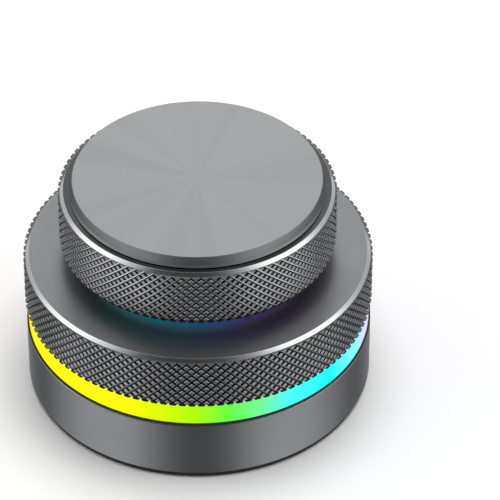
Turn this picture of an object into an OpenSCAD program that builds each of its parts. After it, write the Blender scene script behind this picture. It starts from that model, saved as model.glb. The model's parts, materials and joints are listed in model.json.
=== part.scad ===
// Two-tier desk macro dial. Units are millimetres, +Z is up, and the origin is the centre of the
// footprint on the desk. The socket and the mode slide are at the rear, on the +Y side.

/* [Base] */
// Outer diameter of the base wall
base_d = 66; // [62:0.5:76]
// Height of the base wall
base_h = 12.1; // [10.5:0.1:16]
// Thickness of the base wall
base_wall = 2; // [1.5:0.1:2.6]
// Chamfer on the base wall's outer edges
base_edge = 0.25; // [0.1:0.05:0.45]
// Thickness of the bottom cover
cover_t = 2; // [1.8:0.1:2.6]
// Height of the rubber foot ring
foot_h = 1; // [0.6:0.1:2]
// Radial width of the foot ring
foot_w = 7; // [5:0.5:9]
// Set-back of the foot ring from the base wall
foot_inset = 0.5; // [0.2:0.1:1.5]
// Diameter of the screw lugs inside the base wall
lug_d = 6; // [5:0.25:7]

/* [Light ring] */
// Visible height of the light ring
ring_h = 5.25; // [3.5:0.05:8]
// Set-back of the light ring from the base wall
ring_inset = 0.55; // [0.3:0.05:1]
// Thickness of the light ring's wall
ring_wall = 2; // [1.5:0.1:2.6]
// Depth of the spigot that locates the ring in the base
spigot_h = 1; // [0.7:0.1:1.5]
// Thickness of that spigot
spigot_t = 1.3; // [1:0.1:2]
// Number of lamps behind the light ring
led_count = 16; // [8:1:20]

/* [Lower dial] */
// Height of the lower dial
dial_h = 10.15; // [8:0.05:14]
// Overhang of the knurl's crests past the base wall
dial_overhang = 0.2; // [0.1:0.05:1]
// Wall of the dial's skirt, measured from the knurl's root
dial_wall = 2.2; // [1.6:0.1:3]
// Thickness of the dial's top plate
plate_t = 2; // [1.5:0.1:3]
// Running gap between light ring and dial
dial_gap = 0.4; // [0.3:0.05:0.8]

/* [Upper knob] */
// Diameter over the upper knob's crests
knob_d = 52.5; // [46:0.5:58]
// Height of the knurled ring up to its ledge
knob_h = 10.85; // [9.5:0.05:15]
// Wall of the ring, measured from the knurl's root
knob_wall = 2.95; // [2.4:0.05:3.6]
// Gap between the lower dial and the upper knob
knob_gap = 3.95; // [3.2:0.05:6]
// Diameter of the spun top face
cap_d = 47.1; // [44:0.1:48]
// Height of the cap above the ledge
cap_h = 2.25; // [1.4:0.05:3]
// Slope of the cap's bevelled wall
cap_bevel = 0.7; // [0.4:0.1:1.4]
// Push of the upper knob
press_travel = 0.8; // [0.4:0.1:1]

/* [Knurl] */
// Width of one diamond round the rim
knurl_pitch = 1.8; // [1.75:0.01:3]
// Height of one diamond
knurl_rise = 1.7; // [1.45:0.01:2.5]
// Depth of the grooves
knurl_depth = 0.4; // [0.3:0.05:0.9]
// Rise of the ledge over each knurl
knurl_ledge = 0.1; // [0.05:0.05:0.3]
// Bright chamfer above each knurl
edge_chamfer = 0.6; // [0.3:0.02:1]

/* [Post and bearing] */
// Thickness of the frame's deck
deck_t = 1.6; // [1.4:0.1:2]
// Wall of the hollow post
post_wall = 1.8; // [1.5:0.1:2.4]
// Thickness of the post's top wall
post_top_t = 1.5; // [1.2:0.1:2]
// Rise of the post above the lower dial
post_rise = 2.6; // [2.2:0.1:3]
// Wall of the bearing bush
bush_wall = 1.5; // [1.1:0.1:2]
// Wall of the carrier's hub round the bush
hub_wall = 2.5; // [1.8:0.1:3]
// Thickness of the carrier's flange and lip
carrier_t = 1.6; // [1.2:0.1:2.2]
// Radial width of the magnet ring
magnet_w = 3; // [2:0.1:4]
// Height of the magnet ring
magnet_h = 3; // [2:0.1:4]
// Thickness of the thrust washer
thrust_t = 0.5; // [0.3:0.1:0.8]
// Thickness of the retaining clip
clip_t = 0.8; // [0.6:0.05:1]

/* [Push encoder] */
// Side of the square encoder body
enc_w = 12; // [11:0.1:13]
// Height of the encoder under its mounting face
enc_h = 6.5; // [6:0.1:8]
// Diameter of the encoder's bushing
bushing_d = 7; // [6.8:0.1:9]
// Diameter of the encoder shaft
shaft_d = 6; // [5:0.1:6.2]
// Width across the flats of the nut
nut_af = 10; // [9.5:0.1:12]
// Thickness of the nut
nut_t = 2; // [1.5:0.1:2.5]

/* [Boards and battery] */
// Thickness of every circuit board
board_t = 1; // [0.8:0.1:1.2]
// Height of the bosses under the main board
boss_h = 0.8; // [0.5:0.1:1.2]
// Width of the socket's shell
usb_w = 8.94; // [8.5:0.02:9.4]
// Height of the socket's shell
usb_h = 3.26; // [3:0.02:3.6]
// Length of the socket's shell
usb_l = 7.35; // [6.5:0.05:9]
// Length of the battery
battery_l = 30; // [24:1:34]
// Width of the battery
battery_w = 16; // [12:1:18]
// Thickness of the battery
battery_t = 3.8; // [3:0.1:5]
// Travel of the mode slide to each side
slide_travel = 2; // [1:0.1:2.5]
// Bearing of the mode slide, with the socket at 90 degrees
slide_angle = 62; // [55:1:66]

/* [Fits] */
// Radial clearance of a running fit
run_fit = 0.05; // [0.02:0.01:0.1]
// Thickness of a bonded joint
bond_gap = 0.1; // [0.05:0.01:0.2]
// Clearance of a part that drops into place
drop_fit = 0.15; // [0.1:0.05:0.3]

/* [Hidden] */
$fn = 96;
eps = 0.01;

// Bought-in small hardware
screw_r = 0.95;
screw_hole_r = 1;
screw_head_r = 1.9;
screw_head_h = 1;
screw_bite = 2.4;
head_sink = 0.1;
socket_r = 0.7;
socket_depth = 0.6;
washer_t = 0.5;
washer_w = 2.3;

// Base
base_r = base_d / 2;
base_ri = base_r - base_wall;
z_base = foot_h;
z_cover_top = z_base + cover_t;
z_base_top = z_base + base_h;
lug_angles = [30, 150, 210, 330];
lug_pos = base_ri - lug_d / 2;
screw_recess = 0.3;

// Frame deck and light ring
z_deck_top = z_base_top - spigot_h;
z_deck = z_deck_top - deck_t;
ring_r = base_r - ring_inset;
spigot_r = base_ri - drop_fit;
ring_flange = 1;
seal_h = 0.5;
seal_inset = 0.1;
z_ring_top = z_base_top + ring_h;

// Lower dial and upper knob
z_dial = z_ring_top + dial_gap;
z_dial_top = z_dial + dial_h;
z_plate = z_dial_top - plate_t;
dial_r = base_r + dial_overhang;
dial_root = dial_r - knurl_depth;
dial_ri = dial_root - dial_wall;
z_knob = z_dial_top + knob_gap;
z_ledge = z_knob + knob_h;
z_top = z_ledge + cap_h;
knob_r = knob_d / 2;
knob_root = knob_r - knurl_depth;
knob_ri = knob_root - knob_wall;
cap_r = cap_d / 2;

// Hollow post, sized to pass the encoder body, and the bearing on it
enc_clear = 0.7;
post_ri = enc_w / sqrt(2) + enc_clear;
post_r = post_ri + post_wall;
z_post_top = z_dial_top + post_rise;
z_face = z_post_top - post_top_t;
axial_gap = 0.1;
bush_ri = post_r + run_fit;
bush_ro = bush_ri + bush_wall;
bush_flange = 0.8;
hub_r = bush_ro + hub_wall;
z_bush = z_deck_top + thrust_t + axial_gap;
z_hub = z_bush + bush_flange;
hub_sink = 1.3;
z_hub_top = z_dial_top - hub_sink;
hub_step = 1.5;
magnet_gap = 0.2;
z_magnet_top = z_hub + magnet_gap + magnet_h;
magnet_r = hub_r + magnet_w;
plate_margin = 2.5;
plate_hole_r = hub_r + plate_margin;
z_flange_top = z_plate - bond_gap;
z_flange = z_flange_top - carrier_t;
lip_r = dial_ri - bond_gap;
lip_rise = 1.5;
z_lip = z_dial + lip_rise;
rib_root = 0.5;
clip_groove = 0.6;
clip_reach = 2.2;
clip_opening = 50;
z_clip = z_hub_top + axial_gap;

// Push encoder
shaft_r = shaft_d / 2;
bushing_r = bushing_d / 2;
z_enc = z_face - enc_h;
enc_floor = 1.2;
enc_frame_t = 1.4;
z_enc_frame = z_face - enc_frame_t;
rotor_gap = 0.2;
rotor_wall = 1;
rotor_r = enc_w / 2 - rotor_wall;
z_rotor_top = z_enc_frame - rotor_gap;
shaft_gap = 0.3;
drive_flat = 0.9;
drive_w = shaft_d - 2 * drive_flat;
z_drive = z_enc + enc_floor + press_travel + shaft_gap;
z_round = z_rotor_top + press_travel + shaft_gap;
z_enc_board = z_enc - board_t;
z_washer = z_post_top + board_t;
z_nut = z_washer + washer_t;
bushing_rise = 1.5;
z_bushing_top = z_nut + nut_t + bushing_rise;

// Glow under the upper knob
glow_inset = 2.6;
glow_r = knob_ri - glow_inset;
glow_wall = 1.3;
glow_h = 2.1;
glow_led = [2, 2.2, 1.2];
glow_led_count = 12;
glow_led_gap = 0.4;
glow_led_pos = glow_r - glow_wall - glow_led_gap - glow_led.x;

// Core of the upper knob
web_sink = 0.7;
z_web_top = z_ledge - web_sink;
web_t = 2;
z_web = z_web_top - web_t;
skirt_r = knob_ri - bond_gap;
skirt_t = 1.6;
skirt_rise = 1.2;
z_skirt = z_knob + skirt_rise;
boss_wall = 2.6;
boss_r = shaft_r + boss_wall;
boss_gap = 0.4;
z_boss = z_bushing_top + press_travel + boss_gap;
shaft_sink = 1.2;
z_shaft_top = z_web_top - shaft_sink;
shaft_flat = shaft_r / 2;
flat_relief = 0.5;
shaft_fit = 0.03;
cap_seat = 1.5;
cap_seat_r = knob_ri - cap_seat;
cap_seam = 0.15;
cap_edge = 0.12;
hub_clip_t = 0.6;
hub_clip_gap = 0.3;
hub_clip_opening = 30;
rib_inset = 2;

// Boards inside the base
board_gap = 0.6;
lug_gap = 0.4;
battery_gap = 1;
battery_corner = 1.5;
board_r = base_ri - board_gap;
board_front = -6;
z_board = z_cover_top + boss_h;
z_board_top = z_board + board_t;
board_boss_r = 2.2;
board_screw_inset = 10;
board_screw_pos = base_ri - board_screw_inset;
board_screw_angles = [0, 60, 120, 180];
led = [2.8, 3.5, 1.4];
led_gap = 0.3;
led_board_r = spigot_r - spigot_t - led_gap;
sensor_gap = 1.5;
led_board_ri = magnet_r + sensor_gap;
led_pos = led_board_r - led.x / 2 - led_gap;
hall = [1.6, 2.9, 1.1];
hall_angles = [75, 105];
ribbon_w = 8;
ribbon_t = 0.3;
ribbon_steps = 20;
ribbon_socket = [9, 3, 1.6];
ribbon_low_y = 8;
ribbon_high_y = 4.5;
chips = [
    [[-9, 6], [7, 7, 1.2]], [[9, 5], [5, 5, 0.9]],
    [[9, 11.5], [3, 3, 0.9]], [[-9, 12.5], [3.2, 2.5, 0.8]]
];

// Socket and mode slide
usb_wall = 0.3;
usb_fit = 0.05;
usb_recess = 0.8;
usb_back = 1.5;
usb_tongue_size = [6.7, 5, 0.7];
port_gap = 0.3;
z_usb = z_board_top + usb_h / 2;
y_usb = base_r - usb_recess;
slide_stem = [2, 1.6];
slide_shoe = [3.4, 1.2, 2.2];
slide_body_y = 3.4;
slide_body_h = 3;
slide_wall = 0.8;
slide_proud = 0.5;
slide_fit = 0.1;
slide_setback = 1.2;
y_slide = base_ri - slide_setback;
z_slide = z_board_top + slide_body_h / 2;
slide_groove = 0.3;

// Shared shapes

module revolve(profile) rotate_extrude() polygon(profile);

module tube(ro, ri, h) rotate_extrude() translate([ri, 0]) square([ro - ri, h]);

module at_angles(angles, r) for (a = angles) rotate(a) translate([r, 0]) children();

module stadium(w, h) {
    square([w - h, h], center = true);
    for (side = [-1, 1]) translate([side * (w - h) / 2, 0]) circle(d = h);
}

module rounded_rectangle(size, r) {
    square([size.x - 2 * r, size.y], center = true);
    square([size.x, size.y - 2 * r], center = true);
    for (x = [-1, 1], y = [-1, 1]) translate([x * (size.x / 2 - r), y * (size.y / 2 - r)]) circle(r);
}

// Screw with its head's underside at the origin and its shank along +Z
module screw(shank) {
    difference() {
        translate([0, 0, -screw_head_h]) cylinder(r = screw_head_r, h = screw_head_h);
        translate([0, 0, -screw_head_h - eps]) cylinder(r = socket_r, h = socket_depth + eps, $fn = 6);
    }
    cylinder(r = screw_r, h = shank);
}

// Knurl as rings of points, two columns to a diamond: each ring is [even radius, odd radius, height].
// Crests and roots alternate like a chessboard. The knurl runs out through the lower rim and ends in a
// narrow ledge, which rises to the root under the chamfer.

function columns(r) = 4 * round(PI * r / knurl_pitch);

function plain(r, z) = [r, r, z];

function knurl_ring(crest, j, z) =
    let (root = crest - knurl_depth)
    j % 2 == 0 ? [root, crest, z] : [crest, root, z];

function knurl(crest, z0, z1) =
    let (top = z1 - knurl_ledge, rows = round(2 * (top - z0) / knurl_rise))
    [
        for (j = [0:rows]) knurl_ring(crest, j, z0 + (top - z0) * j / rows),
        plain(crest - knurl_depth, z1)
    ];

// Two triangles between neighbouring rings, split along the bottom of the groove
function cell(a, b, c, d, even) = even ? [[a, d, c], [a, c, b]] : [[a, d, b], [b, d, c]];

module knurled_ring(rings, n) {
    count = len(rings);
    points = [
        for (ring = rings, i = [0:n - 1])
            let (r = ring[i % 2], a = 360 * i / n)
            [r * cos(a), r * sin(a), ring[2]]
    ];
    faces = [
        for (j = [0:count - 1], i = [0:n - 1])
            let (low = j * n, high = (j + 1) % count * n, next = (i + 1) % n)
            each cell(low + i, low + next, high + next, high + i, (i + j) % 2 == 0)
    ];
    polyhedron(points, faces);
}

// Base

module lug_outline(grow) {
    circle(r = lug_d / 2 + grow);
    translate([0, -lug_d / 2 - grow]) square([lug_d / 2 + base_wall / 2, lug_d + 2 * grow]);
}

module usb_port(grow, depth) {
    translate([0, y_usb + usb_recess + eps, z_usb])
        rotate([90, 0, 0])
            linear_extrude(depth) stadium(usb_w + 2 * grow, usb_h + 2 * grow);
}

module at_slide() rotate(slide_angle - 90) children();

module slide_slot() {
    size = [slide_stem.x + 2 * slide_travel + 2 * port_gap, 2 * base_wall, slide_stem.y + 2 * port_gap];
    at_slide() translate([0, base_r - base_wall / 2, z_slide]) cube(size, center = true);
}

module base_shell() {
    color("dimgray") difference() {
        union() {
            revolve([
                [base_ri, z_base], [base_r - base_edge, z_base], [base_r, z_base + base_edge],
                [base_r, z_base_top - base_edge], [base_r - base_edge, z_base_top], [base_ri, z_base_top]
            ]);
            translate([0, 0, z_cover_top])
                linear_extrude(z_deck - z_cover_top)
                    at_angles(lug_angles, lug_pos) lug_outline(0);
        }
        translate([0, 0, z_cover_top - eps])
            at_angles(lug_angles, lug_pos) cylinder(r = screw_hole_r, h = z_deck - z_cover_top + 2 * eps);
        usb_port(port_gap, usb_recess + 2 * base_wall);
        slide_slot();
    }
}

module cover_screw_seat() {
    cylinder(r = screw_hole_r + drop_fit, h = cover_t + eps);
    translate([0, 0, -eps]) cylinder(r = screw_head_r + drop_fit, h = screw_recess + screw_head_h + eps);
}

module bottom_cover() {
    color([0.12, 0.12, 0.13]) difference() {
        union() {
            translate([0, 0, z_base]) cylinder(r = base_ri - drop_fit, h = cover_t);
            translate([0, 0, z_base])
                at_angles(board_screw_angles, board_screw_pos)
                    cylinder(r = board_boss_r, h = cover_t + boss_h);
        }
        translate([0, 0, z_base]) at_angles(lug_angles, lug_pos) cover_screw_seat();
        translate([0, 0, z_board - screw_bite])
            at_angles(board_screw_angles, board_screw_pos) cylinder(r = screw_hole_r, h = screw_bite + eps);
    }
}

module rubber_foot() {
    color([0.08, 0.08, 0.08]) tube(base_r - foot_inset, base_r - foot_inset - foot_w, foot_h);
}

module cover_screws() {
    color("silver")
        translate([0, 0, z_base + screw_recess + screw_head_h])
            at_angles(lug_angles, lug_pos) screw(cover_t - screw_recess - screw_head_h + screw_bite);
}

module battery() {
    front = sqrt(pow(base_ri, 2) - pow(battery_l / 2, 2)) - battery_gap;
    color([0.25, 0.35, 0.55])
        translate([0, battery_w / 2 - front, z_cover_top])
            linear_extrude(battery_t) rounded_rectangle([battery_l, battery_w], battery_corner);
}

// Main board with its socket, slide and chips

module main_board() {
    color([0.05, 0.3, 0.16])
        translate([0, 0, z_board])
            linear_extrude(board_t)
                difference() {
                    intersection() {
                        circle(r = board_r);
                        translate([-board_r, board_front]) square([2 * board_r, board_r - board_front]);
                    }
                    at_angles(lug_angles, lug_pos) lug_outline(lug_gap);
                    at_angles(board_screw_angles, board_screw_pos) circle(r = screw_hole_r + drop_fit);
                }
}

module board_screws() {
    color("silver")
        translate([0, 0, z_board_top])
            at_angles(board_screw_angles, board_screw_pos)
                mirror([0, 0, 1]) screw(board_t + screw_bite - drop_fit);
}

module board_chips() {
    color([0.1, 0.1, 0.11])
        for (chip = chips)
            translate([chip[0].x - chip[1].x / 2, chip[0].y - chip[1].y / 2, z_board_top]) cube(chip[1]);
}

module usb_shell() {
    color("silver")
        translate([0, y_usb, z_usb])
            rotate([90, 0, 0])
                linear_extrude(usb_l)
                    difference() {
                        stadium(usb_w, usb_h);
                        stadium(usb_w - 2 * usb_wall, usb_h - 2 * usb_wall);
                    }
}

module usb_tongue() {
    inner = usb_wall + usb_fit;
    color([0.1, 0.1, 0.1])
        translate([0, y_usb - usb_l, z_usb]) {
            rotate([-90, 0, 0]) linear_extrude(usb_back) stadium(usb_w - 2 * inner, usb_h - 2 * inner);
            translate([-usb_tongue_size.x / 2, usb_back - eps, -usb_tongue_size.z / 2]) cube(usb_tongue_size);
        }
}

module slide_opening(width, height, y0, y1) {
    translate([-width / 2 - slide_travel - slide_fit, y0, z_slide - height / 2 - slide_fit])
        cube([width + 2 * slide_travel + 2 * slide_fit, y1 - y0, height + 2 * slide_fit]);
}

module switch_body() {
    width = slide_shoe.x + 2 * slide_travel + 2 * slide_fit + 2 * slide_wall;
    y_shoe = y_slide - slide_wall - slide_shoe.y - 2 * slide_fit;
    color("silver")
        at_slide() difference() {
            translate([-width / 2, y_slide - slide_body_y, z_board_top])
                cube([width, slide_body_y, slide_body_h]);
            slide_opening(slide_shoe.x, slide_shoe.z, y_shoe, y_slide - slide_wall);
            slide_opening(slide_stem.x, slide_stem.y, y_slide - slide_wall - eps, y_slide + eps);
        }
}

module switch_slider() {
    y_shoe = y_slide - slide_wall - slide_fit - slide_shoe.y;
    y_tip = base_r + slide_proud;
    color([0.1, 0.1, 0.1])
        at_slide() difference() {
            union() {
                translate([-slide_shoe.x / 2, y_shoe, z_slide - slide_shoe.z / 2]) cube(slide_shoe);
                translate([-slide_stem.x / 2, y_shoe, z_slide - slide_stem.y / 2])
                    cube([slide_stem.x, y_tip - y_shoe, slide_stem.y]);
            }
            for (x = [-1, 0, 1])
                translate([(2 * x - 0.5) * slide_groove, y_tip - slide_groove, z_slide - slide_stem.y])
                    cube([slide_groove, slide_groove + eps, 2 * slide_stem.y]);
        }
}

module ribbon_sockets() {
    color("ivory") {
        translate([-ribbon_socket.x / 2, ribbon_low_y - ribbon_socket.y / 2, z_board_top])
            cube(ribbon_socket);
        translate([-ribbon_socket.x / 2, ribbon_high_y - ribbon_socket.y / 2, z_enc_board - ribbon_socket.z])
            cube(ribbon_socket);
    }
}

// Flat cable that rises in one soft bend from socket to socket
function ribbon_y(s) = ribbon_low_y + (ribbon_high_y - ribbon_low_y) * (1 - cos(180 * s)) / 2;

module ribbon_cable() {
    z0 = z_board_top + ribbon_socket.z;
    z1 = z_enc_board - ribbon_socket.z;
    line = [for (i = [0:ribbon_steps]) let (s = i / ribbon_steps) [ribbon_y(s), z0 + (z1 - z0) * s]];
    half = [ribbon_t / 2, 0];
    front = [for (p = line) p - half];
    back = [for (i = [ribbon_steps:-1:0]) line[i] + half];
    color("gainsboro")
        translate([-ribbon_w / 2, 0, 0])
            rotate([90, 0, 90]) linear_extrude(ribbon_w) polygon(concat(front, back));
}

// Frame, light ring and its lamps

module frame_screw_seat() {
    translate([0, 0, -deck_t - eps]) cylinder(r = screw_hole_r + drop_fit, h = deck_t + 2 * eps);
    translate([0, 0, -screw_head_h - head_sink])
        cylinder(r = screw_head_r + drop_fit, h = screw_head_h + head_sink + eps);
}

module centre_frame() {
    hole_r = bushing_r + drop_fit;
    color([0.15, 0.15, 0.16]) difference() {
        revolve([
            [post_ri, z_deck], [base_ri - drop_fit, z_deck], [base_ri - drop_fit, z_deck_top],
            [post_r, z_deck_top], [post_r, z_post_top], [hole_r, z_post_top], [hole_r, z_face],
            [post_ri, z_face]
        ]);
        translate([0, 0, z_clip]) tube(post_r + clip_reach, post_r - clip_groove, clip_t);
        translate([0, 0, z_deck_top]) at_angles(lug_angles, lug_pos) frame_screw_seat();
    }
}

module frame_screws() {
    color("silver")
        translate([0, 0, z_deck_top - head_sink - screw_head_h])
            at_angles(lug_angles, lug_pos)
                mirror([0, 0, 1]) screw(deck_t - head_sink - screw_head_h + screw_bite);
}

module light_ring() {
    spigot_ri = spigot_r - spigot_t;
    color([0.93, 0.96, 0.9]) revolve([
        [spigot_ri, z_deck_top], [spigot_r, z_deck_top], [spigot_r, z_base_top], [ring_r, z_base_top],
        [ring_r, z_ring_top], [ring_r - ring_wall, z_ring_top],
        [ring_r - ring_wall, z_base_top + ring_flange], [spigot_ri, z_base_top + ring_flange]
    ]);
}

module light_seal() {
    color([0.08, 0.08, 0.08])
        translate([0, 0, z_base_top]) tube(base_r - base_edge - seal_inset, ring_r, seal_h);
}

module led_board() {
    color([0.92, 0.92, 0.9]) translate([0, 0, z_deck_top]) tube(led_board_r, led_board_ri, board_t);
}

module leds() {
    color("white")
        translate([0, 0, z_deck_top + board_t])
            at_angles([for (i = [0:led_count - 1]) 360 * i / led_count], led_pos)
                translate([-led.x / 2, -led.y / 2, 0]) cube(led);
}

module hall_sensors() {
    color([0.1, 0.1, 0.11])
        translate([0, 0, z_deck_top + board_t])
            at_angles(hall_angles, led_board_ri + led_gap)
                translate([0, -hall.y / 2, 0]) cube(hall);
}

// Lower dial and its bearing

module thrust_washer() {
    color("silver") translate([0, 0, z_deck_top]) tube(hub_r, post_r + axial_gap, thrust_t);
}

module dial_bush() {
    color("ivory") revolve([
        [bush_ri, z_bush], [hub_r, z_bush], [hub_r, z_hub],
        [bush_ro, z_hub], [bush_ro, z_hub_top], [bush_ri, z_hub_top]
    ]);
}

module dial_carrier() {
    step_r = hub_r + hub_step;
    lip_ri = lip_r - carrier_t;
    rib_h = 3;
    color([0.18, 0.18, 0.19]) {
        revolve([
            [bush_ro, z_hub], [hub_r, z_hub], [hub_r, z_magnet_top], [step_r, z_magnet_top],
            [step_r, z_flange], [lip_ri, z_flange], [lip_ri, z_lip], [lip_r, z_lip],
            [lip_r, z_flange_top], [hub_r, z_flange_top], [hub_r, z_hub_top], [bush_ro, z_hub_top]
        ]);
        for (a = [0:60:300])
            rotate(a)
                translate([step_r - rib_root, -carrier_t / 2, z_flange - rib_h])
                    cube([lip_ri - step_r + 2 * rib_root, carrier_t, rib_h + carrier_t / 2]);
    }
}

module dial_clip() {
    color("silver")
        translate([0, 0, z_clip])
            rotate(270 + clip_opening / 2)
                rotate_extrude(angle = 360 - clip_opening)
                    translate([post_r - clip_groove, 0]) square([clip_groove + clip_reach, clip_t]);
}

module magnet_ring() {
    color([0.3, 0.3, 0.32]) translate([0, 0, z_magnet_top - magnet_h]) tube(magnet_r, hub_r, magnet_h);
}

module lower_dial() {
    rings = concat(knurl(dial_r, z_dial, z_dial_top - edge_chamfer), [
        plain(dial_root - edge_chamfer, z_dial_top), plain(plate_hole_r, z_dial_top),
        plain(plate_hole_r, z_plate), plain(dial_ri, z_plate), plain(dial_ri, z_dial)
    ]);
    color([0.42, 0.43, 0.45]) knurled_ring(rings, columns(dial_r));
}

// Push encoder on the post

module encoder_body() {
    color([0.1, 0.1, 0.1]) difference() {
        translate([-enc_w / 2, -enc_w / 2, z_enc]) cube([enc_w, enc_w, enc_h - enc_frame_t]);
        translate([0, 0, z_enc + enc_floor]) cylinder(r = rotor_r + run_fit, h = enc_h);
    }
}

module encoder_frame() {
    color("silver") difference() {
        union() {
            translate([-enc_w / 2, -enc_w / 2, z_enc_frame]) cube([enc_w, enc_w, enc_frame_t]);
            translate([0, 0, z_enc_frame]) cylinder(r = bushing_r, h = z_bushing_top - z_enc_frame);
        }
        translate([0, 0, z_enc_frame - eps])
            cylinder(r = shaft_r + run_fit, h = z_bushing_top - z_enc_frame + 2 * eps);
    }
}

// Shaft section that the rotor drives: a round with two flats
module drive_section(grow, h) {
    intersection() {
        cylinder(r = shaft_r + grow, h = h);
        translate([-shaft_d, -drive_w / 2 - grow, 0]) cube([2 * shaft_d, drive_w + 2 * grow, h]);
    }
}

module encoder_rotor() {
    z0 = z_enc + enc_floor + rotor_gap;
    color("darkgoldenrod") difference() {
        translate([0, 0, z0]) cylinder(r = rotor_r, h = z_rotor_top - z0);
        translate([0, 0, z0 - eps]) drive_section(slide_fit, z_rotor_top - z0 + 2 * eps);
    }
}

module shaft_flat_cut(offset, z0, h) {
    translate([offset, -shaft_d, z0]) cube([shaft_d, 2 * shaft_d, h]);
}

module encoder_shaft() {
    color("silver") {
        translate([0, 0, z_drive]) drive_section(0, z_round - z_drive + eps);
        difference() {
            translate([0, 0, z_round]) cylinder(r = shaft_r, h = z_shaft_top - z_round);
            shaft_flat_cut(shaft_flat, z_boss - flat_relief, z_shaft_top);
        }
    }
}

module encoder_board() {
    color([0.05, 0.3, 0.16]) translate([0, 0, z_enc_board]) cylinder(r = post_ri - port_gap, h = board_t);
}

module encoder_washer() {
    color("silver") translate([0, 0, z_washer]) tube(bushing_r + washer_w, bushing_r + drop_fit, washer_t);
}

module encoder_nut() {
    color("silver")
        translate([0, 0, z_nut])
            difference() {
                cylinder(d = nut_af / cos(30), h = nut_t, $fn = 6);
                translate([0, 0, -eps]) cylinder(r = bushing_r + run_fit, h = nut_t + 2 * eps);
            }
}

// Glow under the upper knob

module glow_board() {
    color([0.92, 0.92, 0.9]) translate([0, 0, z_post_top]) tube(glow_r, bushing_r + drop_fit, board_t);
}

module glow_leds() {
    color("white")
        translate([0, 0, z_post_top - glow_led.z])
            at_angles([for (i = [0:glow_led_count - 1]) 360 * i / glow_led_count], glow_led_pos)
                translate([0, -glow_led.y / 2, 0]) cube(glow_led);
}

module glow_ring() {
    color([0.85, 0.92, 0.98]) translate([0, 0, z_post_top - glow_h]) tube(glow_r, glow_r - glow_wall, glow_h);
}

// Upper knob

module knob_hub() {
    skirt_ri = skirt_r - skirt_t;
    rib_h = 1.8;
    color([0.18, 0.18, 0.19]) difference() {
        union() {
            revolve([
                [0, z_boss], [boss_r, z_boss], [boss_r, z_web], [skirt_ri, z_web], [skirt_ri, z_skirt],
                [skirt_r, z_skirt], [skirt_r, z_web_top], [0, z_web_top]
            ]);
            for (a = [0:60:300])
                rotate(a)
                    translate([boss_r + rib_inset, -skirt_t / 2, z_web - rib_h])
                        cube([skirt_ri + rib_root - boss_r - rib_inset, skirt_t, rib_h + web_t / 2]);
        }
        difference() {
            translate([0, 0, z_boss - eps])
                cylinder(r = shaft_r + shaft_fit, h = z_shaft_top + axial_gap - z_boss);
            shaft_flat_cut(shaft_flat + shaft_fit, z_boss - flat_relief, z_top);
        }
    }
}

module hub_clip() {
    height = z_web - z_boss - 2 * hub_clip_gap;
    color("silver")
        translate([0, 0, z_boss + hub_clip_gap])
            rotate(hub_clip_opening / 2)
                rotate_extrude(angle = 360 - hub_clip_opening)
                    translate([boss_r, 0]) square([hub_clip_t, height]);
}

module upper_knob() {
    rings = concat(knurl(knob_r, z_knob, z_ledge - edge_chamfer), [
        plain(knob_root - edge_chamfer, z_ledge), plain(knob_ri, z_ledge), plain(knob_ri, z_knob)
    ]);
    color([0.42, 0.43, 0.45]) knurled_ring(rings, columns(knob_r));
}

module top_cap() {
    z_rim = z_ledge + cap_seam;
    color([0.64, 0.64, 0.66]) revolve([
        [0, z_web_top], [cap_seat_r, z_web_top], [cap_seat_r, z_rim], [cap_r + cap_bevel, z_rim],
        [cap_r, z_top - cap_edge], [cap_r - cap_edge, z_top], [0, z_top]
    ]);
}

base_shell();
bottom_cover();
rubber_foot();
cover_screws();
main_board();
board_screws();
board_chips();
usb_shell();
usb_tongue();
switch_body();
switch_slider();
battery();
ribbon_cable();
ribbon_sockets();
centre_frame();
frame_screws();
led_board();
leds();
hall_sensors();
light_ring();
light_seal();
thrust_washer();
dial_bush();
dial_carrier();
dial_clip();
magnet_ring();
lower_dial();
encoder_body();
encoder_frame();
encoder_rotor();
encoder_shaft();
encoder_board();
encoder_washer();
encoder_nut();
glow_board();
glow_leds();
glow_ring();
knob_hub();
hub_clip();
upper_knob();
top_cap();
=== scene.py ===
"""Looks of a two-tier desk macro dial: knurled aluminium, a spun top face and two lit rings.

Profiles are in millimetres, in the frame of the CAD part, and are scaled to metres when a mesh is made.
"""

import json
import math

import bpy
import numpy as np
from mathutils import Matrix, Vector


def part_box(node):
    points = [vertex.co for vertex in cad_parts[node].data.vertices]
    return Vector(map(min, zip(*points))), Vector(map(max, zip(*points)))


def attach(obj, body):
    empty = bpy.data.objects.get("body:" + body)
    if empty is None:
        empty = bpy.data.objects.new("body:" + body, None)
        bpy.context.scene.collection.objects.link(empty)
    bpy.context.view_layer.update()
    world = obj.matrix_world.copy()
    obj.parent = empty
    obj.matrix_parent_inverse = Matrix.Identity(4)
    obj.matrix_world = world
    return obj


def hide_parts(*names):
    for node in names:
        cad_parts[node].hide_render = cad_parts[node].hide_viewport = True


MM = 0.001
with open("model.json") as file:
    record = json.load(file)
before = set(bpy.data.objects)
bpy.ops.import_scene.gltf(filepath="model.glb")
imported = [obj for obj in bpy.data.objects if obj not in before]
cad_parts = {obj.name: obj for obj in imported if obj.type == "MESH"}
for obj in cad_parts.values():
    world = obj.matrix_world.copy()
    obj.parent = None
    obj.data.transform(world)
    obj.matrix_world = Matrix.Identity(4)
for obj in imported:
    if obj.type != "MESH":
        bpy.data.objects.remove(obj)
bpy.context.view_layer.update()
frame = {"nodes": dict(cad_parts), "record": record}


def span(node):
    """Outer radius, bottom and top of a round CAD node, in millimetres."""
    low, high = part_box(node)
    return high.x / MM, low.z / MM, high.z / MM


# Sizes of the CAD part that the boxes of its nodes don't give
CHAMFER = 0.6
DIAL_BORE = 30.6
PLATE_HOLE = 17.535
PLATE_T = 2.0
KNOB_BORE = 22.9
CAP_TOP_R = 23.55
CAP_RIM_Z = 43.85
CAP_SEAT_R = 21.4

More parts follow.
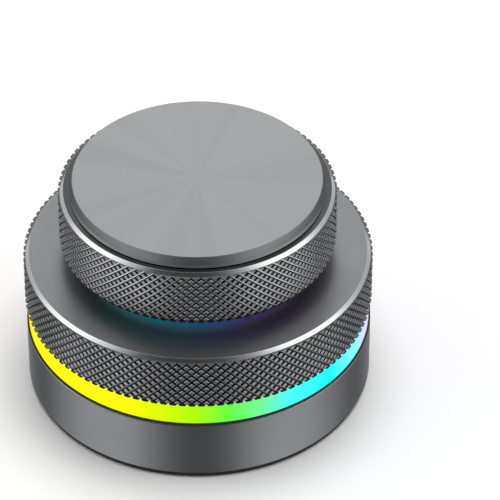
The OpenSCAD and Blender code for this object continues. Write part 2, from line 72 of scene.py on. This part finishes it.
# The wall of the top disc has two slopes, which meet this far out from its top edge and up from its rim
CAP_STEP_OUT = 0.43
CAP_STEP_UP = 0.5

# Knurl: half diamonds round the rims and up their height, and a narrow ledge under the chamfer
DIAL_COLUMNS, DIAL_ROWS = 232, 12
KNOB_COLUMNS, KNOB_ROWS = 184, 13
KNURL_DEPTH = 0.4
KNURL_LEDGE = 0.1
# Shares of the way from the middle of a groove to the middle of a diamond, with the heights there as shares
# of the depth: a narrow bottom, a steep flank, a small bevel and a broad crest
KNURL_PROFILE = [(0.0, 0.0), (0.15, 0.03), (0.38, 0.9), (0.49, 1.0), (1.0, 1.0)]

# Lower rims: a thin lip below the CAD rim, the taper of its lowest row, and the notches between its teeth
DIAL_LIP = 0.9
DIAL_NOTCH = 0.22
KNOB_LIP = 0.55
KNOB_NOTCH = 0.12
LIP_INSET = 0.3
RIM_TAPER = 0.2

# Sleeve round the light ring, and the black seal that it stands on, widened as painted shade in the joint
# between ring and base
SLEEVE_FIT = 0.02
SLEEVE_WALL = 0.18
SLEEVE_GAP = 0.2
SEAL_WALL = 0.5
SEAL_H = 0.35

# Fillets
DIAL_FILLET = 0.03
HOLE_FILLET = 0.1
KNOB_FILLET = 0.02
SEAL_FILLET = 0.06
SLEEVE_LOW_FILLET = 0.05
SLEEVE_TOP_FILLET = 0.1
CAP_RIM_FILLET = 0.08
CAP_STEP_FILLET = 0.15
CAP_TOP_FILLET = 0.1

# Places of the finishes among the materials of a knurled rim, and of the top disc
CREST, CHAMFER_CUT, SATIN, LEDGE_SHADE, GROOVE, FLANK, ROOT, BEVEL = range(8)
DISC_FACE, DISC_WALL = range(2)


# Materials


def shader(name):
    """A new material with its node tree and its main shader."""
    material = bpy.data.materials.new(name)
    material.use_nodes = True
    return material, material.node_tree, material.node_tree.nodes["Principled BSDF"]


def add(tree, kind, **settings):
    node = tree.nodes.new(kind)
    for key, value in settings.items():
        setattr(node, key, value)
    return node


def link(tree, source, target):
    tree.links.new(source, target)


def math_node(tree, operation, a, b=None):
    node = add(tree, "ShaderNodeMath", operation=operation)
    for socket, value in zip(node.inputs, (a, b)):
        if isinstance(value, (int, float)):
            socket.default_value = value
        elif value is not None:
            link(tree, value, socket)
    return node.outputs[0]


def place(tree):
    """Coordinates in the frame of the part, in metres."""
    return add(tree, "ShaderNodeTexCoord").outputs["Object"]


def noise(tree, vector, scale, detail=2.0):
    node = add(tree, "ShaderNodeTexNoise")
    node.inputs["Scale"].default_value = scale
    node.inputs["Detail"].default_value = detail
    link(tree, vector, node.inputs["Vector"])
    return node.outputs["Fac"]


def between(tree, value, low, high, start=0.3, end=0.7):
    """The value, from start to end, mapped to the range from low to high."""
    node = add(tree, "ShaderNodeMapRange")
    for socket, number in zip(node.inputs[1:5], (start, end, low, high)):
        socket.default_value = number
    link(tree, value, node.inputs[0])
    return node.outputs[0]


def shades(tree, value, stops):
    """Colour ramp through stops of (position, linear colour)."""
    ramp = add(tree, "ShaderNodeValToRGB")
    elements = ramp.color_ramp.elements
    while len(elements) < len(stops):
        elements.new(0.5)
    for element, (position, colour) in zip(elements, stops):
        element.position = position
        element.color = (*colour, 1.0)
    link(tree, value, ramp.inputs["Fac"])
    return ramp.outputs["Color"]


def scaled(colour, factor):
    return tuple(min(1.0, c * factor) for c in colour)


def product(tree, a, b):
    """Two colours multiplied."""
    node = add(tree, "ShaderNodeMix", data_type="RGBA", blend_type="MULTIPLY")
    node.inputs["Factor"].default_value = 1.0
    link(tree, a, node.inputs["A"])
    link(tree, b, node.inputs["B"])
    return node.outputs["Result"]


def bearing_and_height(tree, vector):
    """Bearing as a share of a turn, 0.5 at the front and more to the right, and the z of the vector."""
    axes = add(tree, "ShaderNodeSeparateXYZ")
    link(tree, vector, axes.inputs[0])
    front = math_node(tree, "MULTIPLY", axes.outputs["Y"], -1.0)
    angle = math_node(tree, "ARCTAN2", axes.outputs["X"], front)
    turn = math_node(tree, "MULTIPLY_ADD", angle, 1 / (2 * math.pi))
    turn.node.inputs[2].default_value = 0.5
    return turn, axes.outputs["Z"]


def shades_round(tree, turn, stops):
    """Colour ramp round the part through stops of (degrees to the right of the front, linear colour)."""
    return shades(tree, turn, [(0.5 + degrees / 360, colour) for degrees, colour in stops])


def bump(tree, surface, height, distance):
    node = add(tree, "ShaderNodeBump")
    node.inputs["Distance"].default_value = distance
    node.inputs["Strength"].default_value = 1.0
    link(tree, height, node.inputs["Height"])
    link(tree, node.outputs["Normal"], surface.inputs["Normal"])


def finish(name, colour, rough, metal=0.0, grain=3000.0, relief=0.0, spread=0.06, drift=0.05):
    """A finish with a fine grain in its roughness and relief and a slow drift in its colour."""
    material, tree, surface = shader(name)
    at = place(tree)
    fine = noise(tree, at, grain, 3.0)
    slow = noise(tree, at, 90.0, 3.0)
    tone = shades(tree, slow, [(0.3, scaled(colour, 1 - drift)), (0.7, scaled(colour, 1 + drift))])
    link(tree, tone, surface.inputs["Base Color"])
    link(tree, between(tree, fine, rough - spread, rough + spread), surface.inputs["Roughness"])
    surface.inputs["Metallic"].default_value = metal
    if relief:
        bump(tree, surface, fine, relief)
    return material


def spun_finish(name, colour, rough):
    """A face turned on a lathe: fine rings, stretched reflections and faint streaks from the centre."""
    material, tree, surface = shader(name)
    flat = add(tree, "ShaderNodeVectorMath", operation="MULTIPLY")
    flat.inputs[1].default_value = (1.0, 1.0, 0.0)
    link(tree, place(tree), flat.inputs[0])
    radius = add(tree, "ShaderNodeVectorMath", operation="LENGTH")
    link(tree, flat.outputs["Vector"], radius.inputs[0])
    outward = add(tree, "ShaderNodeVectorMath", operation="NORMALIZE")
    link(tree, flat.outputs["Vector"], outward.inputs[0])
    rings = add(tree, "ShaderNodeTexNoise", noise_dimensions="1D")
    rings.inputs["Scale"].default_value = 4200.0
    rings.inputs["Detail"].default_value = 4.0
    link(tree, radius.outputs["Value"], rings.inputs["W"])
    streaks = noise(tree, outward.outputs["Vector"], 2.6, 3.0)
    tone = shades(tree, streaks, [(0.32, scaled(colour, 0.93)), (0.5, colour), (0.7, scaled(colour, 1.03))])
    ring_tone = shades(tree, rings.outputs["Fac"], [(0.3, (0.9,) * 3), (0.7, (1.0,) * 3)])
    link(tree, product(tree, tone, ring_tone), surface.inputs["Base Color"])
    link(tree, between(tree, rings.outputs["Fac"], rough - 0.05, rough + 0.05), surface.inputs["Roughness"])
    surface.inputs["Metallic"].default_value = 1.0
    surface.inputs["Anisotropic"].default_value = 0.35
    tangent = add(tree, "ShaderNodeTangent", direction_type="RADIAL", axis="Z")
    link(tree, tangent.outputs["Tangent"], surface.inputs["Tangent"])
    bump(tree, surface, rings.outputs["Fac"], 0.004 * MM)
    return material


def lit_finish(name, stops, strength, body=0.15):
    """A frosted ring lit from behind, with its colours given as for shades_round."""
    material, tree, surface = shader(name)
    at = place(tree)
    turn, _ = bearing_and_height(tree, at)
    hue = shades_round(tree, turn, stops)
    frost = shades(tree, noise(tree, at, 2500.0), [(0.3, (body * 0.94,) * 3), (0.7, (body,) * 3)])
    link(tree, product(tree, hue, frost), surface.inputs["Base Color"])
    link(tree, hue, surface.inputs["Emission Color"])
    surface.inputs["Emission Strength"].default_value = strength
    surface.inputs["Roughness"].default_value = 0.5
    surface.inputs["Specular IOR Level"].default_value = 0.04
    return material


RING_LIGHT = [
    (-180, (1.0, 0.03, 0.25)), (-140, (1.0, 0.05, 0.02)), (-105, (1.0, 0.38, 0.0)), (-72, (1.0, 0.93, 0.0)),
    (-27, (1.0, 1.0, 0.0)), (0, (0.40, 1.0, 0.0)), (10, (0.13, 1.0, 0.045)), (22, (0.16, 1.0, 0.3)),
    (33, (0.06, 1.0, 0.95)), (50, (0.0, 1.0, 1.0)), (65, (0.22, 0.87, 1.0)), (78, (0.75, 0.66, 1.0)),
    (105, (0.5, 0.2, 1.0)), (145, (0.9, 0.06, 0.8)), (180, (1.0, 0.03, 0.25)),
]
GLOW_LIGHT = [
    (-180, (0.7, 0.05, 0.6)), (-110, (0.05, 0.5, 0.25)), (-45, (0.0, 0.5, 0.5)), (-12, (0.02, 0.42, 0.62)),
    (8, (0.06, 0.25, 0.75)), (28, (0.16, 0.08, 0.5)), (60, (0.26, 0.05, 0.45)), (180, (0.7, 0.05, 0.6)),
]

FINISHES = {
    "base_metal": finish("base_metal", (0.32, 0.325, 0.34), 0.36, metal=1.0, grain=9000.0, relief=0.002 * MM),
    "dial_metal": finish("dial_metal", (0.42, 0.425, 0.44), 0.4, metal=1.0, grain=5000.0, relief=0.002 * MM),
    "cap_metal": spun_finish("cap_metal", (0.555, 0.56, 0.575), 0.36),
    "foot_rubber": finish("foot_rubber", (0.018, 0.018, 0.019), 0.75, grain=2500.0, relief=0.01 * MM),
    "diffuser": lit_finish("diffuser", RING_LIGHT, 1.0),
    "black_plastic": finish("black_plastic", (0.03, 0.03, 0.033), 0.5, grain=2500.0, relief=0.006 * MM),
    "bearing_plastic": finish("bearing_plastic", (0.78, 0.75, 0.68), 0.45, grain=2000.0),
    "steel": finish("steel", (0.6, 0.6, 0.62), 0.28, metal=1.0, grain=2500.0),
    "green_board": finish("green_board", (0.015, 0.13, 0.05), 0.4, grain=1800.0),
    "white_board": finish("white_board", (0.78, 0.78, 0.75), 0.45, grain=1800.0),
    "chip": finish("chip", (0.03, 0.03, 0.033), 0.6, grain=3500.0, relief=0.005 * MM),
    "lamp": finish("lamp", (0.85, 0.84, 0.78), 0.3, grain=1500.0),
    "magnet": finish("magnet", (0.09, 0.09, 0.095), 0.6, grain=2500.0),
    "battery_wrap": finish("battery_wrap", (0.06, 0.12, 0.32), 0.3, grain=1200.0),
    "ribbon": finish("ribbon", (0.7, 0.7, 0.67), 0.5, grain=1500.0),
    "contact_brass": finish("contact_brass", (0.72, 0.5, 0.2), 0.3, metal=1.0, grain=2500.0),
}
bright_cut = finish("bright_cut", (0.88, 0.885, 0.9), 0.16, metal=1.0, grain=4000.0, spread=0.03, drift=0.02)
satin = finish("satin", (0.4, 0.405, 0.42), 0.38, metal=1.0, grain=7000.0, relief=0.0015 * MM)
dark_cut = finish("dark_cut", (0.36, 0.365, 0.378), 0.46, metal=1.0, grain=4000.0, spread=0.04)
# Painted shade: the knob's top ledge round the disc is coloured far darker than its satin metal, for the shade
# at the foot of the disc's wall
painted_shade_ledge = finish("painted_shade_ledge", (0.13, 0.132, 0.138), 0.2, metal=1.0, grain=4000.0, spread=0.03)
groove_cut = finish("groove_cut", (0.2, 0.203, 0.212), 0.42, metal=1.0, grain=5000.0, spread=0.04)
# Painted shade: the flanks of the knurl grooves are coloured near black for the shade that falls in the
# grooves
painted_shade_flank = finish("painted_shade_flank", (0.07, 0.071, 0.075), 0.4, metal=1.0, grain=5000.0, spread=0.04)
# Painted highlight: the small bevel between flank and crest of each diamond is coloured far lighter than the
# crest
painted_highlight_bevel = finish("painted_highlight_bevel", (0.75, 0.755, 0.77), 0.24, metal=1.0, grain=5000.0, spread=0.04)
# Painted highlight: the groove bottoms of the upper knob are coloured near white for the light line that they
# catch
painted_highlight_root = finish("painted_highlight_root", (0.85, 0.855, 0.87), 0.28, metal=1.0, grain=5000.0, spread=0.04)
# Painted shade: the groove bottoms of the lower dial are a darker copy of the knob's, for the shade they sit
# in
painted_shade_root = finish("painted_shade_root", (0.24, 0.243, 0.252), 0.3, metal=1.0, grain=5000.0, spread=0.04)
glow = lit_finish("glow", GLOW_LIGHT, 0.6)

NODE_SHARP = math.radians(30)
for part in frame["record"]["subparts"]:
    node = frame["nodes"][part["node"]]
    node.data.materials.clear()
    node.data.materials.append(FINISHES[part["material_slot"]])
    node.data.polygons.foreach_set("use_smooth", [True] * len(node.data.polygons))
    node.data.set_sharp_from_angle(angle=NODE_SHARP)
frame["nodes"]["glow_ring"].data.materials[0] = glow


# Round pieces

PIECE_SHARP = math.radians(25)


def rounded(corners, steps=4):
    """Outline of (radius, height, fillet, finish) corners with each fillet drawn out.

    The finish is that of the stretch that follows the corner, and a fillet takes the finish before it.
    """
    outline = []
    for i, (r, z, fillet, skin) in enumerate(corners):
        here = Vector((r, z))
        before = Vector(corners[i - 1][:2]) - here
        after = Vector(corners[(i + 1) % len(corners)][:2]) - here
        if not fillet:
            outline.append((r, z, skin))
            continue
        start, end = here + before.normalized() * fillet, here + after.normalized() * fillet
        for k in range(steps + 1):
            t = k / steps
            p = start * (1 - t) ** 2 + here * 2 * t * (1 - t) + end * t**2
            outline.append((p.x, p.y, skin if k == steps else corners[i - 1][3]))
    return outline


def ring_points(r, z, n):
    angle = 2 * math.pi * np.arange(n) / n
    return np.stack([r * np.cos(angle), r * np.sin(angle), np.broadcast_to(z, n)], -1)


def piece(name, points, faces, skins, smooth, materials, body, slot, *replaced):
    """Makes a mesh in the frame of the part and hangs it on its body, in place of any CAD nodes named last."""
    mesh = bpy.data.meshes.new(name)
    mesh.from_pydata((np.asarray(points) * MM).tolist(), [], faces)
    for material in materials:
        mesh.materials.append(material)
    mesh.polygons.foreach_set("material_index", skins)
    mesh.polygons.foreach_set("use_smooth", smooth)
    mesh.set_sharp_from_angle(angle=PIECE_SHARP)
    mesh.update()
    obj = bpy.data.objects.new(name, mesh)
    bpy.context.scene.collection.objects.link(obj)
    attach(obj, body)
    if replaced:
        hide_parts(*replaced)
    return obj


def wrap(low, high, skin, faces, skins, smooth, soft=True):
    """Quads between two rings of points, given by their indices."""
    for i in range(len(low)):
        k = (i + 1) % len(low)
        faces.append((low[i], low[k], high[k], high[i]))
        skins.append(skin)
        smooth.append(soft)


def half_cells(columns, rows):
    """Yields both ends of a groove and the middle of a diamond beside it, in the order that faces outwards.

    Each cell of a knurl has a groove along one diagonal and the middle of a diamond at both other corners.
    """
    for j in range(rows):
        for i in range(columns):
            if (i + j) % 2 == 0:
                start, end, above, below = (i, j), (i + 1, j + 1), (i, j + 1), (i + 1, j)
            else:
                start, end, above, below = (i, j + 1), (i + 1, j), (i + 1, j + 1), (i, j)
            yield start, end, above
            yield end, start, below


def knurled(name, crest, z0, z1, columns, rows, rim_notch, rest, materials, body, slot, node):
    """A ring with a knurled outside from z0 to z1, which tapers in at its lower rim and ends in round teeth.

    rest is the outline that closes it over the top and inside. The crests that the rim cuts take the painted
    shade of the groove flanks, a painted shadow along the lower rim.
    """
    spots, points, faces, skins, smooth = {}, [], [], [], []

    def spot(groove, middle, share, height):
        """Index of the point a share of the way from a point of the groove to the middle of the diamond."""
        a, b = (round(g + (m - g) * share, 4) for g, m in zip(groove, middle))
        key = a % columns, b
        if key not in spots:
            tooth = abs(a % 2 - 1)
            notch = rim_notch * (1 - math.sqrt(1 - tooth**2)) * max(0, 1 - b)
            taper = RIM_TAPER * max(0, 1 - b)
            r, angle = crest - KNURL_DEPTH * (1 - height) - taper, 2 * math.pi * a / columns
            spots[key] = len(points)
            points.append((r * math.cos(angle), r * math.sin(angle), z0 + (z1 - z0) * b / rows + notch))
        return spots[key]

    for start, end, middle in half_cells(columns, rows):
        # The lowest row of half diamonds gets the painted shade of the flanks all over, a painted shadow along
        # the rim
        strips = (ROOT, FLANK, BEVEL, CREST) if middle[1] else (ROOT, FLANK, FLANK, FLANK)
        for skin, low, high in zip(strips, KNURL_PROFILE, KNURL_PROFILE[1:]):
            face = [spot(start, middle, *low), spot(end, middle, *low), spot(end, middle, *high)]
            if high[0] < 1:
                face.append(spot(start, middle, *high))
            faces.append(face)
            skins.append(skin)
            smooth.append(False)
    rim, edge = ([spots[key] for key in sorted(spots) if key[1] == b] for b in (0, rows))
    angles = np.array([math.atan2(points[k][1], points[k][0]) for k in edge])
    skin = GROOVE
    for r, z, following in rest:
        ring = range(len(points), len(points) + len(angles))
        points += [(r * math.cos(angle), r * math.sin(angle), z) for angle in angles]
        wrap(edge, ring, skin, faces, skins, smooth, skin != GROOVE)
        edge, skin = ring, following
    wrap(edge, rim, skin, faces, skins, smooth, False)
    return piece(name, points, faces, skins, smooth, materials, body, slot, node)


def turned(name, corners, materials, body, slot, *replaced, n=288):
    """A closed lathe shape from rounded corners. Corners on the axis close it."""
    outline = rounded(corners)
    points, faces, skins, smooth, starts = [], [], [], [], []
    for r, z, _ in outline:
        starts.append(sum(len(p) for p in points))
        points.append(ring_points(r, z, n) if r > 1e-6 else np.array([[0.0, 0.0, z]]))
    for i, (_, _, skin) in enumerate(outline):
        k = (i + 1) % len(outline)
        low, high = starts[i], starts[k]
        if len(points[i]) == n and len(points[k]) == n:
            wrap(range(low, low + n), range(high, high + n), skin, faces, skins, smooth)
        elif len(points[i]) == n or len(points[k]) == n:
            for c in range(n):
                d = (c + 1) % n
                faces.append((low + c, low + d, high) if len(points[i]) == n else (low, high + d, high + c))
                skins.append(skin)
                smooth.append(True)
    return piece(name, np.concatenate(points), faces, skins, smooth, materials, body, slot, *replaced)


def base_tube(name, inner, outer, z0, z1, low_fillet, high_fillet, slot, *replaced):
    """A tube on the base in the finish of its slot, with fillets on its outer edges."""
    return turned(name, [
        (inner, z0, 0.0, 0), (outer, z0, low_fillet, 0), (outer, z1, high_fillet, 0), (inner, z1, 0.0, 0),
    ], [FINISHES[slot]], "base", slot, *replaced)


metals = [FINISHES["dial_metal"], bright_cut, satin, painted_shade_ledge, groove_cut, painted_shade_flank]

dial_r, dial_z0, dial_z1 = span("lower_dial")
dial_root = dial_r - KNURL_DEPTH
dial_edge = dial_z1 - CHAMFER - KNURL_LEDGE
dial_rim_z = dial_z0 - DIAL_LIP
plate_z = dial_z1 - PLATE_T
dial_rest = rounded([
    (dial_root, dial_z1 - CHAMFER, 0.0, CHAMFER_CUT), (dial_root - CHAMFER, dial_z1, DIAL_FILLET, SATIN),
    (PLATE_HOLE, dial_z1, HOLE_FILLET, SATIN), (PLATE_HOLE, plate_z, 0.0, SATIN),
    (DIAL_BORE, plate_z, 0.0, SATIN), (DIAL_BORE, dial_z0, 0.0, SATIN),
    # The underside of the lip takes the painted shade of the flanks
    (dial_root - LIP_INSET, dial_z0, 0.0, SATIN), (dial_root - LIP_INSET, dial_rim_z, 0.0, FLANK),
])
knurled("dial_rim", dial_r, dial_rim_z, dial_edge, DIAL_COLUMNS, DIAL_ROWS, DIAL_NOTCH, dial_rest,
        [*metals, painted_shade_root, painted_highlight_bevel], "dial", "dial_metal", "lower_dial")

knob_r, knob_z0, knob_z1 = span("upper_knob")
knob_root = knob_r - KNURL_DEPTH
knob_edge = knob_z1 - CHAMFER - KNURL_LEDGE
knob_rim_z = knob_z0 - KNOB_LIP
knob_rest = rounded([
    # The top ledge round the disc takes the painted shade of the ledge finish
    (knob_root, knob_z1 - CHAMFER, 0.0, CHAMFER_CUT), (knob_root - CHAMFER, knob_z1, KNOB_FILLET, LEDGE_SHADE),
    (KNOB_BORE, knob_z1, 0.0, SATIN), (KNOB_BORE, knob_z0, 0.0, SATIN),
    # The underside of the lip takes the painted shade of the flanks
    (knob_root - LIP_INSET, knob_z0, 0.0, SATIN), (knob_root - LIP_INSET, knob_rim_z, 0.0, FLANK),
])
knurled("knob_rim", knob_r, knob_rim_z, knob_edge, KNOB_COLUMNS, KNOB_ROWS, KNOB_NOTCH, knob_rest,
        [*metals, painted_highlight_root, painted_highlight_bevel], "knob", "dial_metal", "upper_knob")

sleeve_bore = span("light_ring")[0] + SLEEVE_FIT
seal_z0 = span("light_seal")[1]
seal_z1 = seal_z0 + SEAL_H
# Black seal, widened over the base's top edge as painted shade in the joint below the light ring
base_tube("seal_and_shade_ring", sleeve_bore, sleeve_bore + SEAL_WALL, seal_z0, seal_z1, 0.0, SEAL_FILLET,
          "foot_rubber", "light_seal")
base_tube("ring_sleeve", sleeve_bore, sleeve_bore + SLEEVE_WALL, seal_z1, dial_rim_z - SLEEVE_GAP,
          SLEEVE_LOW_FILLET, SLEEVE_TOP_FILLET, "diffuser")

cap_r, cap_z0, cap_z1 = span("top_cap")
turned("cap_face", [
    (0.0, cap_z0, 0.0, DISC_WALL), (CAP_SEAT_R, cap_z0, 0.0, DISC_WALL),
    (CAP_SEAT_R, CAP_RIM_Z, 0.0, DISC_WALL), (cap_r, CAP_RIM_Z, CAP_RIM_FILLET, DISC_WALL),
    (CAP_TOP_R + CAP_STEP_OUT, CAP_RIM_Z + CAP_STEP_UP, CAP_STEP_FILLET, DISC_WALL),
    (CAP_TOP_R, cap_z1, CAP_TOP_FILLET, DISC_FACE), (0.0, cap_z1, 0.0, DISC_FACE),
], [FINISHES["cap_metal"], dark_cut], "knob", "cap_metal", "top_cap")


# Stage, with places in metres, the camera's tilt in degrees below level, and its lens in millimetres

FLOOR_HALF = 3.0
LAMP_AT = (0.08, 0.12, 1.3)
LAMP_SIZE = 1.0
LAMP_POWER = 11.5
CAMERA_AT = (0.00986, -0.57301, 0.49837)
CAMERA_TILT = 39.361
CAMERA_LENS = 280.82
CAMERA_SENSOR = 36.0

# The studio's brightness, the least level of its front panel, and the fades between its bands, each given as
# the z of the directions where it starts and ends
STUDIO_STRENGTH = 2.0
FRONT_LEVEL = 0.3
FLOOR_FADE = (-0.54, -0.4)
WALL_FADE = (-0.14, -0.04)
PANEL_START = (0.24, 0.34)
PANEL_END = (0.58, 0.66)


def ground():
    mesh = bpy.data.meshes.new("floor")
    corners = [(x * FLOOR_HALF, y * FLOOR_HALF, 0.0) for x, y in ((-1, -1), (1, -1), (1, 1), (-1, 1))]
    mesh.from_pydata(corners, [], [(0, 1, 2, 3)])
    mesh.materials.append(finish("paper", (0.9, 0.9, 0.9), 0.8, grain=400.0, drift=0.004))
    floor = bpy.data.objects.new("floor", mesh)
    bpy.context.scene.collection.objects.link(floor)
    floor.visible_glossy = False


def studio():
    """A world with soft panels at both sides, a dim front and a grey back."""
    world = bpy.data.worlds.new("studio")
    bpy.context.scene.world = world
    world.use_nodes = True
    tree = world.node_tree
    turn, z = bearing_and_height(tree, add(tree, "ShaderNodeTexCoord").outputs["Generated"])

    def panels(levels):
        """Greys round the part through stops of (degrees to the right of the front, level)."""
        greys = [(degrees, (level / STUDIO_STRENGTH,) * 3) for degrees, level in levels]
        return shades_round(tree, turn, greys)

    def above(height, fade, below, over):
        """below under the start of the fade, over above its end."""
        mix = add(tree, "ShaderNodeMix", data_type="RGBA")
        link(tree, between(tree, height, 0.0, 1.0, *fade), mix.inputs["Factor"])
        link(tree, below, mix.inputs["A"])
        link(tree, over, mix.inputs["B"])
        return mix.outputs["Result"]

    upper_levels = [
        (-180, 0.76), (-150, 0.68), (-135, 0.45), (-119, 0.46), (-106, 0.9), (-93, 1.25), (-78, 1.1),
        (-61, 0.52), (-42, 0.07), (-22, 0.04), (0, 0.04), (22, 0.06), (42, 0.3), (61, 1.1), (78, 1.3),
        (93, 1.2), (106, 0.62), (119, 0.42), (135, 0.42), (150, 0.68), (180, 0.76),
    ]
    upper = panels(upper_levels)
    front_panel = panels([(degrees, max(level, FRONT_LEVEL)) for degrees, level in upper_levels])
    lower = panels([
        (-180, 0.65), (-160, 0.5), (-140, 0.17), (-122, 0.14), (-102, 0.55), (-82, 0.86), (-60, 0.88),
        (-42, 0.8), (-20, 0.22), (0, 0.1), (20, 0.2), (42, 0.76), (60, 0.88), (82, 0.82), (102, 0.45),
        (122, 0.14), (140, 0.2), (160, 0.5), (180, 0.65),
    ])
    horizon = panels([
        (-180, 0.4), (-165, 0.2), (-150, 0.08), (-92, 0.12), (-80, 0.5), (-60, 0.65), (-45, 1.0), (-34, 0.5),
        (-25, 0.06), (0, 0.05), (25, 0.06), (34, 0.5), (45, 1.0), (60, 0.65), (80, 0.5), (92, 0.12),
        (150, 0.08), (165, 0.2), (180, 0.4),
    ])
    # Round the front, the upper band starts higher
    lift = panels([(-180, 0.0), (-92, 0.0), (-68, 0.5), (68, 0.5), (92, 0.0), (180, 0.0)])
    sides = above(z, FLOOR_FADE, lower, horizon)
    upper = above(z, PANEL_END, above(z, PANEL_START, upper, front_panel), upper)
    walls = above(math_node(tree, "SUBTRACT", z, lift), WALL_FADE, sides, upper)
    link(tree, walls, tree.nodes["Background"].inputs["Color"])
    tree.nodes["Background"].inputs["Strength"].default_value = STUDIO_STRENGTH


def lamp():
    """A soft round lamp overhead, aimed at the foot of the part."""
    data = bpy.data.lights.new("overhead", "AREA")
    data.shape = "DISK"
    data.size = LAMP_SIZE
    data.energy = LAMP_POWER
    obj = bpy.data.objects.new("overhead", data)
    bpy.context.scene.collection.objects.link(obj)
    obj.location = LAMP_AT
    obj.rotation_euler = (-Vector(LAMP_AT)).to_track_quat("-Z", "Y").to_euler()
    obj.visible_glossy = False


def camera():
    data = bpy.data.cameras.new("camera")
    data.lens = CAMERA_LENS
    data.sensor_width = CAMERA_SENSOR
    obj = bpy.data.objects.new("camera", data)
    bpy.context.scene.collection.objects.link(obj)
    obj.location = CAMERA_AT
    obj.rotation_euler = (math.radians(90 - CAMERA_TILT), 0.0, 0.0)
    bpy.context.scene.camera = obj


ground()
studio()
lamp()
camera()
bpy.context.scene.view_settings.view_transform = "Standard"
